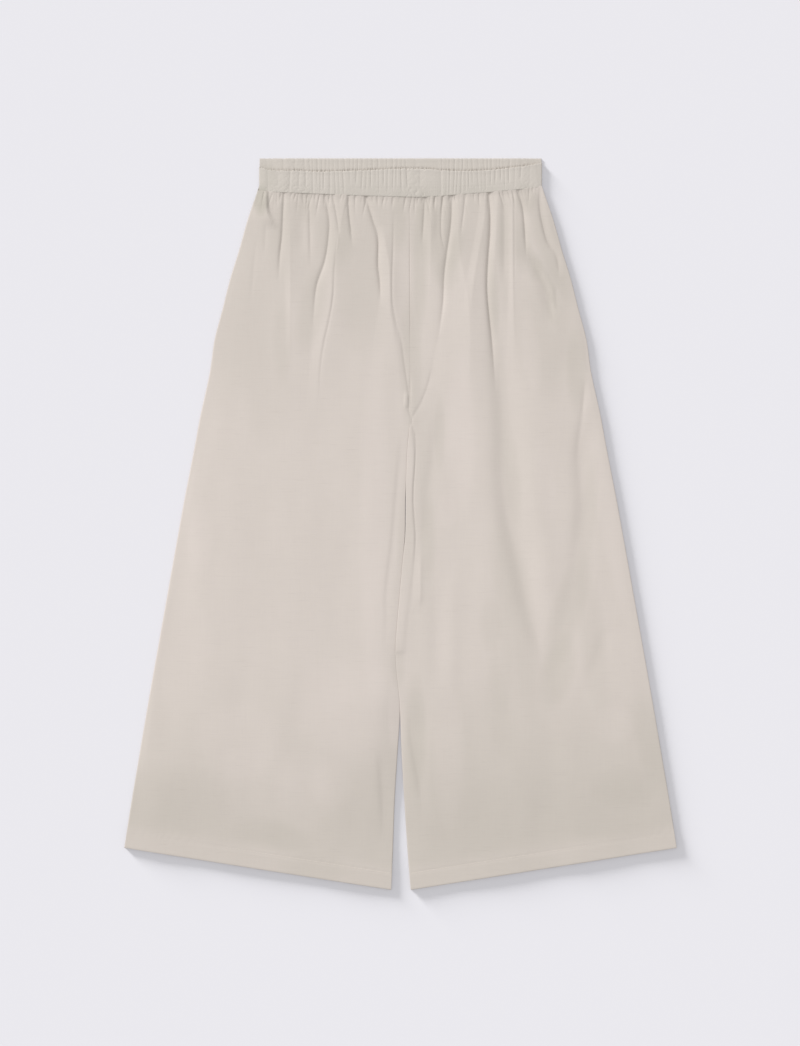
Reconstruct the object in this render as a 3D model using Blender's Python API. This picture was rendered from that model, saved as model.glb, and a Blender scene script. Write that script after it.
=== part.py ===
"""Wide pull-on culottes with a gathered, elasticated waistband, laid flat on their back.

Units are metres. +Z is up, and the back panels rest on z = 0. +Y runs from the hems to the waist, +X is the
wearer's left, and the origin lies under the middle of the garment. "down" is the distance from the top edge of
the back waistband towards the hems, and "across" is the distance from the origin along +X.

The garment is cut as four leg panels, two fronts and two backs, and a waistband in two halves. Each is a closed
wall. The fronts lie on the backs, and pieces that are sewn together stop SEAM_GAP apart.
"""

import math
from collections import namedtuple

import bmesh
import bpy

# ---- sizes of the garment ------------------------------------------------------------------------------------

LENGTH = 0.855  # back waistband's top edge to the lowest corner of a hem
WAIST_HALF = 0.1655  # half the width of the relaxed waistband, laid flat
CLOTH = 0.0012  # wall of a leg panel
SEAM_GAP = 0.0003  # between two pieces that are sewn together or lie on each other
CROTCH_DOWN = 0.303  # where the front seam meets the inside leg seams

BAND_THICKNESS = 0.0028  # cloth, elastic and cloth again, without the ridges
BACK_BAND_HEIGHT = 0.0335
RIDGES = 52  # ridges that the elastic pulls up along each half of the waistband
RIDGE_HEIGHT = 0.0008

HEM_DEPTH = 0.019  # turned-up hem
HEM_RISE = 0.0005  # how far the doubled cloth stands above the panel
HEM_INNER_DOWN = 0.855  # the hem slants: lowest beside the gap between the legs
HEM_OUTER_DOWN = 0.806

PUFF = 0.0021  # air that holds the fronts off the backs
PUFF_REACH = 0.009  # how fast that air closes towards a folded edge
SEAM_HEIGHT = 0.00135  # side seam above the floor along the legs
SEAM_FADE = 0.030  # how fast the side seam comes down from the waistband's height
CENTRE_GROOVE = 0.0006  # dip of the front seam
CENTRE_GROOVE_WIDTH = 0.0025
HEM_SETTLE = 0.0011  # the fronts sink this much towards the hems
SETTLE_START, SETTLE_END = 0.66, 0.79

GATHER_WIDTH = 0.0022  # half width of a gather's valley at the waist seam
GATHER_SPREAD = 0.05  # growth of that half width for each metre further down
WAIST_ROLL = 0.012  # length over which the gathered cloth swells below the seam

CLOTH_COLOUR = (0.66, 0.60, 0.545, 1.0)
CLOTH_ROUGHNESS = 0.85

# ---- tables --------------------------------------------------------------------------------------------------

# Plan of the legs: half width at the outer edges, the line between the two legs, and half the gap between them.
Station = namedtuple("Station", "down outer between gap")
STATIONS = (
    Station(0.000, 0.1560, 0.0100, 0.0),
    Station(0.034, 0.1655, 0.0105, 0.0),
    Station(0.072, 0.1783, 0.0108, 0.0),
    Station(0.107, 0.1882, 0.0110, 0.0),
    Station(0.142, 0.1990, 0.0112, 0.0),
    Station(0.177, 0.2078, 0.0114, 0.0),
    Station(0.212, 0.2170, 0.0115, 0.0),
    Station(0.250, 0.2225, 0.0115, 0.0),
    Station(0.303, 0.2340, 0.0115, 0.0),
    Station(0.340, 0.2408, 0.0082, 0.0),
    Station(0.400, 0.2525, 0.0060, 0.0),
    Station(0.440, 0.2597, 0.0055, 0.0),
    Station(0.510, 0.2722, -0.0008, 0.0),
    Station(0.581, 0.2848, -0.0058, 0.0),
    Station(0.640, 0.2952, -0.0008, 0.0),
    Station(0.692, 0.3040, -0.0011, 0.0024),
    Station(0.750, 0.3138, -0.0012, 0.0058),
    Station(0.806, 0.3225, -0.0004, 0.0086),
    Station(0.860, 0.3300, 0.0006, 0.0118),
)

# Edges of the front waistband, which hangs in a smile over the straight back one.
BandStation = namedtuple("BandStation", "across top bottom")
FRONT_BAND = (
    BandStation(-0.1655, 0.0080, 0.0355),
    BandStation(-0.1500, 0.0108, 0.0365),
    BandStation(-0.0900, 0.0140, 0.0403),
    BandStation(-0.0400, 0.0122, 0.0430),
    BandStation(0.0050, 0.0098, 0.0443),
    BandStation(0.0300, 0.0113, 0.0442),
    BandStation(0.0600, 0.0132, 0.0419),
    BandStation(0.1100, 0.0118, 0.0376),
    BandStation(0.1450, 0.0090, 0.0343),
    BandStation(0.1655, 0.0048, 0.0330),
)

# Valleys that the waist seam pinches into each front panel.
Gather = namedtuple("Gather", "across depth reach")
GATHERS = (
    Gather(-0.1560, 0.0016, 0.034),
    Gather(-0.1490, 0.0007, 0.014),
    Gather(-0.1430, 0.0009, 0.018),
    Gather(-0.1345, 0.0012, 0.090),
    Gather(-0.1220, 0.0006, 0.015),
    Gather(-0.1075, 0.0010, 0.060),
    Gather(-0.0910, 0.0014, 0.045),
    Gather(-0.0845, 0.0006, 0.012),
    Gather(-0.0765, 0.0010, 0.030),
    Gather(-0.0628, 0.0014, 0.048),
    Gather(-0.0500, 0.0007, 0.014),
    Gather(-0.0405, 0.0014, 0.060),
    Gather(-0.0330, 0.0007, 0.012),
    Gather(-0.0228, 0.0008, 0.018),
    Gather(-0.0146, 0.0009, 0.016),
    Gather(-0.0076, 0.0008, 0.040),
    Gather(0.0018, 0.0006, 0.012),
    Gather(0.0193, 0.0007, 0.012),
    Gather(0.0293, 0.0013, 0.060),
    Gather(0.0415, 0.0007, 0.020),
    Gather(0.0490, 0.0010, 0.050),
    Gather(0.0638, 0.0013, 0.060),
    Gather(0.0708, 0.0006, 0.012),
    Gather(0.0778, 0.0008, 0.030),
    Gather(0.0918, 0.0006, 0.018),
    Gather(0.1030, 0.0016, 0.080),
    Gather(0.1130, 0.0007, 0.014),
    Gather(0.1210, 0.0010, 0.060),
    Gather(0.1328, 0.0010, 0.050),
    Gather(0.1385, 0.0013, 0.050),
    Gather(0.1480, 0.0007, 0.014),
    Gather(0.1556, 0.0006, 0.012),
)

# Long creases of the fronts: ridges have a positive height, troughs a negative one. bow bends the middle across.
Crease = namedtuple("Crease", "start_across start_down end_across end_down bow half_width height")
CREASES = (
    Crease(-0.084, 0.085, -0.103, 0.178, 0.001, 0.0040, -0.0012),
    Crease(-0.077, 0.090, -0.101, 0.285, 0.000, 0.0085, 0.0013),
    Crease(-0.071, 0.080, -0.094, 0.276, 0.003, 0.0040, -0.0009),
    Crease(-0.040, 0.055, -0.019, 0.156, 0.002, 0.0040, -0.0013),
    Crease(-0.022, 0.080, -0.013, 0.195, 0.001, 0.0060, 0.0008),
    Crease(-0.008, 0.066, 0.008, 0.280, -0.007, 0.0040, -0.0010),
    Crease(0.057, 0.090, 0.014, 0.298, 0.011, 0.0050, -0.0011),
    Crease(0.066, 0.078, 0.058, 0.210, 0.000, 0.0080, 0.0007),
    Crease(0.103, 0.110, 0.178, 0.610, -0.021, 0.0110, -0.0014),
    Crease(0.130, 0.066, 0.131, 0.205, 0.000, 0.0050, 0.0007),
    Crease(0.224, 0.230, 0.181, 0.560, 0.000, 0.0130, -0.0012),
    Crease(0.141, 0.116, 0.177, 0.206, 0.003, 0.0055, -0.0010),
    Crease(0.163, 0.036, 0.184, 0.128, -0.003, 0.0035, -0.0012),
    Crease(-0.225, 0.310, -0.240, 0.570, 0.000, 0.0140, 0.0008),
    Crease(0.157, 0.350, 0.178, 0.580, 0.000, 0.0170, 0.0008),
    Crease(0.047, 0.300, 0.028, 0.475, -0.003, 0.0065, -0.0009),
    Crease(0.003, 0.312, -0.018, 0.600, -0.002, 0.0035, -0.0009),
    Crease(0.013, 0.312, 0.000, 0.584, 0.001, 0.0040, 0.0015),
    Crease(0.016, 0.320, 0.009, 0.560, 0.004, 0.0026, -0.0012),
    Crease(0.020, 0.452, 0.020, 0.526, 0.000, 0.0040, 0.0010),
    Crease(-0.024, 0.690, -0.020, 0.780, 0.000, 0.0045, -0.0007),
    Crease(0.012, 0.655, 0.025, 0.756, 0.000, 0.0045, -0.0009),
    Crease(-0.131, 0.060, -0.132, 0.205, 0.000, 0.0060, 0.0006),
    Crease(-0.169, 0.088, -0.176, 0.175, 0.000, 0.0050, -0.0006),
    Crease(0.058, 0.490, 0.058, 0.640, 0.000, 0.0110, 0.0006),
)
CREASE_FADE = 0.22  # share of a crease's length over which each end dies away

# Rows of the panels' meshes, as distances from the waist seam for an inside leg of HEM_INNER_DOWN.
GATHER_ROWS = (0.0, 0.004, 0.010, 0.018, 0.028, 0.042, 0.060)
LEG_ROWS = (
    0.078, 0.098, 0.120, 0.144, 0.168, 0.192, 0.216, 0.240, 0.258, 0.276, 0.296, 0.322, 0.352, 0.386, 0.420,
    0.454, 0.484, 0.512, 0.532, 0.546, 0.576, 0.606, 0.640, 0.674, 0.710, 0.746, 0.776,
)  # fmt: skip
LEG_COLUMNS = 26
EDGE_SHARES = (0.975, 0.990)  # extra columns where the cloth turns over at the side
BACK_SHARES = (0.0, 0.04, 0.5, 0.96, 1.0)
RIDGE_POINTS = ((0.0, -1.0), (0.35, 0.55), (0.68, 0.75))  # share of a ridge's pitch, share of its height

# ---- curves --------------------------------------------------------------------------------------------------


def smooth(rows, key, value, at):
    """The named column of a table at that key, on a smooth curve through its rows."""
    keys = [getattr(row, key) for row in rows]
    values = [getattr(row, value) for row in rows]
    at = min(max(at, keys[0]), keys[-1])
    last = len(rows) - 1
    i = max(k for k in range(last) if keys[k] <= at)
    span = keys[i + 1] - keys[i]
    t = (at - keys[i]) / span

    def slope(k):
        low, high = max(k - 1, 0), min(k + 1, last)
        return (values[high] - values[low]) / (keys[high] - keys[low])

    return (
        (2 * t**3 - 3 * t**2 + 1) * values[i]
        + (t**3 - 2 * t**2 + t) * span * slope(i)
        + (3 * t**2 - 2 * t**3) * values[i + 1]
        + (t**3 - t**2) * span * slope(i + 1)
    )


def ease(t):
    """0 below 0, 1 above 1, and smooth between."""
    t = min(max(t, 0.0), 1.0)
    return t * t * (3 - 2 * t)


def bell(offset, half_width):
    return math.exp(-((offset / half_width) ** 2))


def mix(a, b, share):
    return a + (b - a) * share


def outer_half(down):
    return smooth(STATIONS, "down", "outer", down)


def inner_edge(down, side):
    """Across of a leg's inner edge; side is -1 for the wearer's right leg and 1 for the left one."""
    between = smooth(STATIONS, "down", "between", down)
    gap = max(smooth(STATIONS, "down", "gap", down), 0.0)
    return between + side * (gap + SEAM_GAP / 2)


def waist_seam(across):
    return smooth(FRONT_BAND, "across", "bottom", across) + SEAM_GAP


def side_seam_height(down):
    """The side seam lies at mid-thickness: high between the waistband's halves, low along the legs."""
    waist = BAND_THICKNESS + SEAM_GAP / 2
    return mix(SEAM_HEIGHT, waist, math.exp(-max(down - FRONT_BAND[-1].bottom, 0.0) / SEAM_FADE))


def uneven_marks(count, start, end):
    """Marks from start to end whose spacing wanders, as elastic gathers cloth."""
    pitches = [1 + 0.28 * math.sin(2.4 * k) + 0.17 * math.sin(5.3 * k + 1) for k in range(count)]
    marks, total = [start], sum(pitches)
    for pitch in pitches:
        marks.append(marks[-1] + pitch / total * (end - start))
    return marks


# ---- form of the cloth ---------------------------------------------------------------------------------------


def gather_height(across, below):
    """Valleys under the waist seam; below is the distance from the seam."""
    height = 0.0
    for gather in GATHERS:
        offset = across - gather.across
        half_width = GATHER_WIDTH + GATHER_SPREAD * below
        if abs(offset) < 4 * half_width:
            height -= gather.depth * bell(offset, half_width) * bell(below, gather.reach)
    return height


def crease_height(across, down):
    height = 0.0
    for crease in CREASES:
        along = (down - crease.start_down) / (crease.end_down - crease.start_down)
        if not 0 < along < 1:
            continue
        centre = mix(crease.start_across, crease.end_across, along) + crease.bow * math.sin(math.pi * along)
        fade = ease(along / CREASE_FADE) * ease((1 - along) / CREASE_FADE)
        height += crease.height * fade * bell(across - centre, crease.half_width)
    return height


def front_top(across, down, side):
    """Height of the upper face of a front panel."""
    below = max(down - waist_seam(max(-WAIST_HALF, min(across, WAIST_HALF))), 0.0)
    from_side = max(outer_half(down) - abs(across), 0.0)
    from_inner = max(side * (across - inner_edge(down, side)), 0.0)
    lowest = side_seam_height(down) + SEAM_GAP / 2 + CLOTH

    # Above the crotch the two fronts are sewn together, and below it each leg is folded at its inner edge.
    open_leg = ease((down - CROTCH_DOWN) / 0.02)
    inner_air = mix(1.0, 1 - math.exp(-from_inner / PUFF_REACH), open_leg)
    side_air = 1 - math.exp(-from_side / PUFF_REACH)
    roll = 0.45 + 0.55 * ease(below / WAIST_ROLL)
    air = PUFF - HEM_SETTLE * ease((down - SETTLE_START) / (SETTLE_END - SETTLE_START))
    groove = CENTRE_GROOVE * bell(from_inner, CENTRE_GROOVE_WIDTH) * (1 - open_leg)

    form = gather_height(across, below) + crease_height(across, down) - groove
    return max(lowest + air * inner_air * side_air * roll + form * side_air, lowest)


# ---- meshes --------------------------------------------------------------------------------------------------


def panel_point(side, share, fraction, mirror_back=False):
    """(across, down) of a panel's point: share runs from its inner edge to its side, fraction from waist to hem."""
    top_inner = inner_edge(FRONT_BAND[4].bottom, side)
    top_across = mix(top_inner, side * WAIST_HALF, share)
    top_down = BACK_BAND_HEIGHT + SEAM_GAP if mirror_back else waist_seam(top_across)
    down = mix(top_down, mix(HEM_INNER_DOWN, HEM_OUTER_DOWN, share), fraction)
    return mix(inner_edge(down, side), side * outer_half(down), share), down


def gather_columns(side):
    """Across of the columns under the waist seam: each valley, and the crests between."""
    marks = sorted(side * g.across for g in GATHERS if side * (g.across - inner_edge(0.044, side)) > 0)
    columns = []
    for low, high in zip([side * inner_edge(0.044, side)] + marks, marks + [WAIST_HALF]):
        parts = 2 if high - low < 0.009 else 3 if high - low < 0.013 else 4
        columns += [mix(low, high, k / parts) for k in range(1, parts + 1)]
    return columns


def row_shares(side, below, columns):
    """Shares of a row's points: the gathers' own columns near the waist, and even ones further down."""
    if below <= GATHER_ROWS[-1]:
        _, down = panel_point(side, 0.5, below / (HEM_INNER_DOWN - FRONT_BAND[4].bottom))
        inner, outer = side * inner_edge(down, side), outer_half(down)
        extra = [WAIST_HALF + 0.007 * k for k in range(1, 5)]
        shares = [(across - inner) / (outer - inner) for across in columns + extra]
        return [0.0] + [share for share in shares if 0.004 < share < 0.982] + [EDGE_SHARES[1], 1.0]
    even = [k / LEG_COLUMNS for k in range(LEG_COLUMNS)]
    return [t * (0.35 + 0.65 * t) for t in even] + list(EDGE_SHARES) + [1.0]


def zip_rows(mesh, upper, lower):
    """Faces between two rows of (share, vertex) whose points needn't match in number."""
    i = j = 0
    while i < len(upper) - 1 or j < len(lower) - 1:
        next_upper = upper[i + 1][0] if i < len(upper) - 1 else math.inf
        next_lower = lower[j + 1][0] if j < len(lower) - 1 else math.inf
        if abs(next_upper - next_lower) < 1e-6:
            mesh.faces.new((upper[i][1], lower[j][1], lower[j + 1][1], upper[i + 1][1]))
            i, j = i + 1, j + 1
        elif next_upper < next_lower:
            mesh.faces.new((upper[i][1], lower[j][1], upper[i + 1][1]))
            i += 1
        else:
            mesh.faces.new((upper[i][1], lower[j][1], lower[j + 1][1]))
            j += 1


def finish_object(name, mesh, material):
    bmesh.ops.recalc_face_normals(mesh, faces=mesh.faces)
    data = bpy.data.meshes.new(name)
    mesh.to_mesh(data)
    mesh.free()
    data.materials.append(material)
    data.shade_smooth()
    data.set_sharp_from_angle(angle=math.radians(50))
    piece = bpy.data.objects.new(name, data)
    bpy.context.scene.collection.objects.link(piece)
    return piece


def place(across, down, height):
    return (across, LENGTH / 2 - down, height)


def wall(name, rows, under, material):
    """A closed wall: its upper face through rows of (share, point), its lower face at the heights under gives."""
    mesh = bmesh.new()
    laid = [[(share, mesh.verts.new(point)) for share, point in row] for row in rows]
    for upper, lower in zip(laid, laid[1:]):
        zip_rows(mesh, upper, lower)
    grown = bmesh.ops.extrude_face_region(mesh, geom=mesh.faces[:])
    for vertex in grown["geom"]:
        if isinstance(vertex, bmesh.types.BMVert):
            vertex.co.z = under(vertex.co)
    return finish_object(name, mesh, material)


def front_leg(name, side, material):
    columns = gather_columns(side)
    run = HEM_INNER_DOWN - FRONT_BAND[4].bottom
    hem_rows = [run - HEM_DEPTH - 0.0015, run - HEM_DEPTH, run - HEM_DEPTH / 2, run]
    rows = []
    for below in GATHER_ROWS + LEG_ROWS + tuple(hem_rows):
        rise = HEM_RISE if below >= run - HEM_DEPTH else 0.0
        row = []
        for share in row_shares(side, below, columns):
            across, down = panel_point(side, share, below / run)
            row.append((share, place(across, down, front_top(across, down, side) + rise)))
        rows.append(row)

    def under(point):
        down = LENGTH / 2 - point.y
        return front_top(point.x, down, side) - CLOTH

    return wall(name, rows, under, material)


def back_leg(name, side, material):
    """The back panel lies flat on the floor, and thickens where the waist seam gathers it."""
    run = HEM_INNER_DOWN - FRONT_BAND[4].bottom
    rows = []
    for below in GATHER_ROWS[::2] + LEG_ROWS[::2] + (run,):
        row = []
        for share in BACK_SHARES:
            across, down = panel_point(side, share, below / run, mirror_back=True)
            row.append((share, place(across, down, side_seam_height(down) - SEAM_GAP / 2)))
        rows.append(row)
    return wall(name, rows, lambda point: 0.0, material)


def ridge_columns(start, end):
    """(across, ridge share from -1 to 1) for each column of a waistband half."""
    marks = uneven_marks(RIDGES, start, end)
    columns = [
        (mix(low, high, share), height * (0.75 + 0.25 * math.sin(1.7 * k)))
        for k, (low, high) in enumerate(zip(marks, marks[1:]))
        for share, height in RIDGE_POINTS
    ]
    return columns + [(end, RIDGE_POINTS[0][1])]


def band_half(name, columns, edges, floor, profile, material):
    """A waistband half, lofted through one closed profile for each column."""
    mesh = bmesh.new()
    rings = []
    for across, ridge in columns:
        top, bottom = edges(across)
        end_drop = 1 - 0.45 * math.exp(-(WAIST_HALF - abs(across)) / 0.003)
        ring = [
            mesh.verts.new(
                place(across, mix(bottom, top, up), floor + BAND_THICKNESS * thick * end_drop + RIDGE_HEIGHT * lift * ridge)
            )
            for up, thick, lift in profile
        ]
        rings.append(ring)
    for ring, following in zip(rings, rings[1:]):
        for k in range(len(ring)):
            after = (k + 1) % len(ring)
            mesh.faces.new((ring[k], following[k], following[after], ring[after]))
    mesh.faces.new(rings[0])
    mesh.faces.new(rings[-1])
    return finish_object(name, mesh, material)


# Profiles of the waistband's halves: share of the height from the seam up, share of the thickness, ridge share.
FRONT_PROFILE = (
    (0.0, 0.0, 0.0), (0.0, 0.80, 0.2), (0.08, 1.0, 0.3), (0.30, 1.06, 0.5), (0.90, 1.0, 0.5), (1.0, 0.55, 0.3),
    (1.0, 0.0, 0.0),
)  # fmt: skip
BACK_PROFILE = ((0.0, 0.0, 0.0), (0.0, 0.85, 0.0), (0.55, 0.85, 0.15), (0.93, 0.85, 0.2), (1.0, 0.5, 0.1), (1.0, 0.0, 0.0))


def front_band_edges(across):
    return smooth(FRONT_BAND, "across", "top", across), smooth(FRONT_BAND, "across", "bottom", across)


def back_band_edges(across):
    return 0.0, BACK_BAND_HEIGHT


def cloth_material():
    material = bpy.data.materials.new("cloth")
    material.use_nodes = True
    shader = material.node_tree.nodes["Principled BSDF"]
    shader.inputs["Base Color"].default_value = CLOTH_COLOUR
    shader.inputs["Roughness"].default_value = CLOTH_ROUGHNESS
    return material


def main():
    for leftover in list(bpy.data.objects):
        bpy.data.objects.remove(leftover)
    cloth = cloth_material()
    for leg, side in (("right", -1), ("left", 1)):
        front_leg(f"front_{leg}_leg", side, cloth)
        back_leg(f"back_{leg}_leg", side, cloth)
    columns = ridge_columns(-WAIST_HALF, WAIST_HALF)
    band_half("waistband_front", columns, front_band_edges, BAND_THICKNESS + SEAM_GAP, FRONT_PROFILE, cloth)
    band_half("waistband_back", columns, back_band_edges, 0.0, BACK_PROFILE, cloth)


main()
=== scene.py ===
import math
from functools import partial

import bpy
import numpy as np
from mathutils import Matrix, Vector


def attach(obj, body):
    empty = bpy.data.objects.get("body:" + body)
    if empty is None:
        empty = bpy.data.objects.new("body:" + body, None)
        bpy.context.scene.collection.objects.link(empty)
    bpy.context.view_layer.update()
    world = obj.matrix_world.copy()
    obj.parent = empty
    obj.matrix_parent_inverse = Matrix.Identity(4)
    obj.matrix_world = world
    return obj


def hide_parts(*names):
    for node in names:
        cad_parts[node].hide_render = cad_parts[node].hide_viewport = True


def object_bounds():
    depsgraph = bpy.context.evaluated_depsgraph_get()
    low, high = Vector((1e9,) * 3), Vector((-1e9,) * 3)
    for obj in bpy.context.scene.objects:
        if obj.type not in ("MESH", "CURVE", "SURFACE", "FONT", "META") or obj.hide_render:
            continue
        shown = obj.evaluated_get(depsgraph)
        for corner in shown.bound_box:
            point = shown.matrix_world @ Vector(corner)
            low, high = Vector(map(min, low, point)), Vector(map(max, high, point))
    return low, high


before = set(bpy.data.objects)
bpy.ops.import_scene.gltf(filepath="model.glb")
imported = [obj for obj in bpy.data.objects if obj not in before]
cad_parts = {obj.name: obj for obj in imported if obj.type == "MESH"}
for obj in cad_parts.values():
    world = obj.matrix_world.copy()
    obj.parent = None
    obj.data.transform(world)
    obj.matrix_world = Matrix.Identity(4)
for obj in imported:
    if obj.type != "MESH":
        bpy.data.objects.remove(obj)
cadLow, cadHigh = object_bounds()
mm = 0.001

# The garment lies on its back. "across" runs to the wearer's left, "down" from the back waistband's top edge
# to the hems, and heights are above the floor, all in millimetres.

cut = {
    # down, half width, line between the legs, half gap between them
    "legs": [
        (0, 156, 10, 0), (34, 165.5, 10.5, 0), (72, 178.3, 10.8, 0), (107, 188.2, 11, 0),
        (142, 199, 11.2, 0), (177, 207.8, 11.4, 0), (212, 217, 11.5, 0), (250, 222.5, 11.5, 0),
        (303, 234, 11.5, 0), (340, 240.8, 8.2, 0), (378, 248.2, 6.7, 0), (400, 252.5, 6, 0.4),
        (440, 259.7, 5.5, 0.3), (470, 265.1, 2.8, 0), (510, 272.2, -0.8, 0), (581, 284.8, -5.8, 0),
        (640, 295.2, -0.8, 0), (692, 304, -1.1, 2.4), (750, 313.8, -1.2, 5.8), (806, 322.5, -0.4, 8.6),
        (860, 330, 0.6, 11.8),
    ],
    # across, front waistband's top edge, its seam with the legs
    "frontBand": [
        (-165.5, 10, 38.5), (-150, 13.8, 39.9), (-118, 14.6, 41.2), (-90, 15.6, 42.4), (-40, 14, 44.3),
        (5, 12.1, 45.6), (30, 12.6, 45.7), (60, 14.7, 43.5), (93, 14.5, 41), (110, 13.2, 39.6),
        (145, 9, 36.2), (165.5, 4.8, 33.5),
    ],
    "backBand": [(-165.5, 0, 33.5), (165.5, 0, 33.5)],
    "crotch": 303,
    "hemInner": 855,
    "hemOuter": 806,
    "waistHalf": 165.5,
    "cloth": 0.8,
    "seamGap": 0.15,
    "tuck": 0.8,  # how far a leg panel runs under the waistband
}
length = (cadHigh.y - cadLow.y) / mm


def through(rows, column, at):  # a table's column, on a smooth curve through its rows
    table = np.array(rows, float)
    keys, values = table[:, 0], table[:, column]
    at = np.clip(at, keys[0], keys[-1])
    slopes = np.empty(len(keys))
    slopes[1:-1] = (values[2:] - values[:-2]) / (keys[2:] - keys[:-2])
    slopes[0] = (values[1] - values[0]) / (keys[1] - keys[0])
    slopes[-1] = (values[-1] - values[-2]) / (keys[-1] - keys[-2])
    i = np.clip(np.searchsorted(keys, at, side="right") - 1, 0, len(keys) - 2)
    span = keys[i + 1] - keys[i]
    t = (at - keys[i]) / span
    rise = (3 - 2 * t) * t * t
    return (values[i] * (1 - rise) + values[i + 1] * rise
            + span * t * (1 - t) * ((1 - t) * slopes[i] - t * slopes[i + 1]))


def ease(t):
    t = np.clip(t, 0, 1)
    return t * t * (3 - 2 * t)


def grow(at, start, run):  # from 0 at the start to 1 after the run
    return ease((at - start) / run)


def fall(at, end, run):  # the other way round
    return ease((end - at) / run)


def fill(at, least, run, start=0):  # from a least share at the start to all of it after the run
    return least + (1 - least) * ease((at - start) / run)


def bell(offset, spread):
    return np.exp(-((offset / spread) ** 2))


def outerEdge(down):
    return through(cut["legs"], 1, down)


def innerEdge(down, side):
    gap = np.maximum(through(cut["legs"], 3, down), 0) + cut["seamGap"]
    return through(cut["legs"], 2, down) + side * gap


def waistSeam(across, band="frontBand"):
    return through(cut[band], 2, np.clip(across, -cut["waistHalf"], cut["waistHalf"]))


def hemEdge(share):
    return cut["hemInner"] + (cut["hemOuter"] - cut["hemInner"]) * share


def acrossAt(down, side, share):  # place at a share of the way from a panel's inner edge to its side
    inner = innerEdge(down, side)
    return inner + (side * outerEdge(down) - inner) * share


def fromEdges(across, down, side):  # how far a point of a panel is in from its side, inner edge and hem
    fromSide = np.maximum(outerEdge(down) - np.abs(across), 0)
    fromInner = np.maximum(side * (across - innerEdge(down, side)), 0)
    share = fromInner / (fromInner + fromSide)
    return fromSide, fromInner, hemEdge(share) - down


hems = {
    "deep": 19,
    "turn": 0.45,
    "least": 3.6,  # least height of a front's outer face at the hem, where four walls of cloth lie
    "leastRun": 7,
    "flatRun": 8,  # over which the cloth above a hem becomes as flat as the hem
    "edgeFlat": 0.75,  # share of the turn at an edge that a hem takes away
    # Sewing puckers a hem: height, how much it varies, over what length, its start
    "pucker": (0.05, 0.03, 31, 4),
    "puckerForm": (1.4, 2, 9, 2),  # length of one pucker, how far it wanders, over what length, its lean
    "puckerReach": (1, 4),  # above the stitch line, spread
    "wave": (0.25, 17, 30, 12),  # height, length, how far above the edge it starts, run to its full height
    "groove": (0.28, 0.7),  # stitch line: depth, spread
}


def inHem(fromHem, run):  # 1 in a turned-up hem, falling to 0 above it
    return fall(fromHem, hems["deep"] + run, run)


def sewHem(high, across, fromHem, side):
    stitchLine = fromHem - hems["deep"]
    pinch, vary, varyLong, varyStart = hems["pucker"]
    long, wander, wanderLong, lean = hems["puckerForm"]
    above, spread = hems["puckerReach"]
    uneven = pinch + vary * np.sin(across / varyLong + varyStart)
    pucker = uneven * np.sin(across / long + wander * np.sin(across / wanderLong) - stitchLine / lean)
    pucker = pucker * bell(stitchLine - above, spread)
    rise, long, *where = hems["wave"]
    wave = rise * np.sin(across / long + side) * fall(fromHem, *where)
    deep, spread = hems["groove"]
    return high + pucker + wave - deep * bell(stitchLine, spread)


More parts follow.
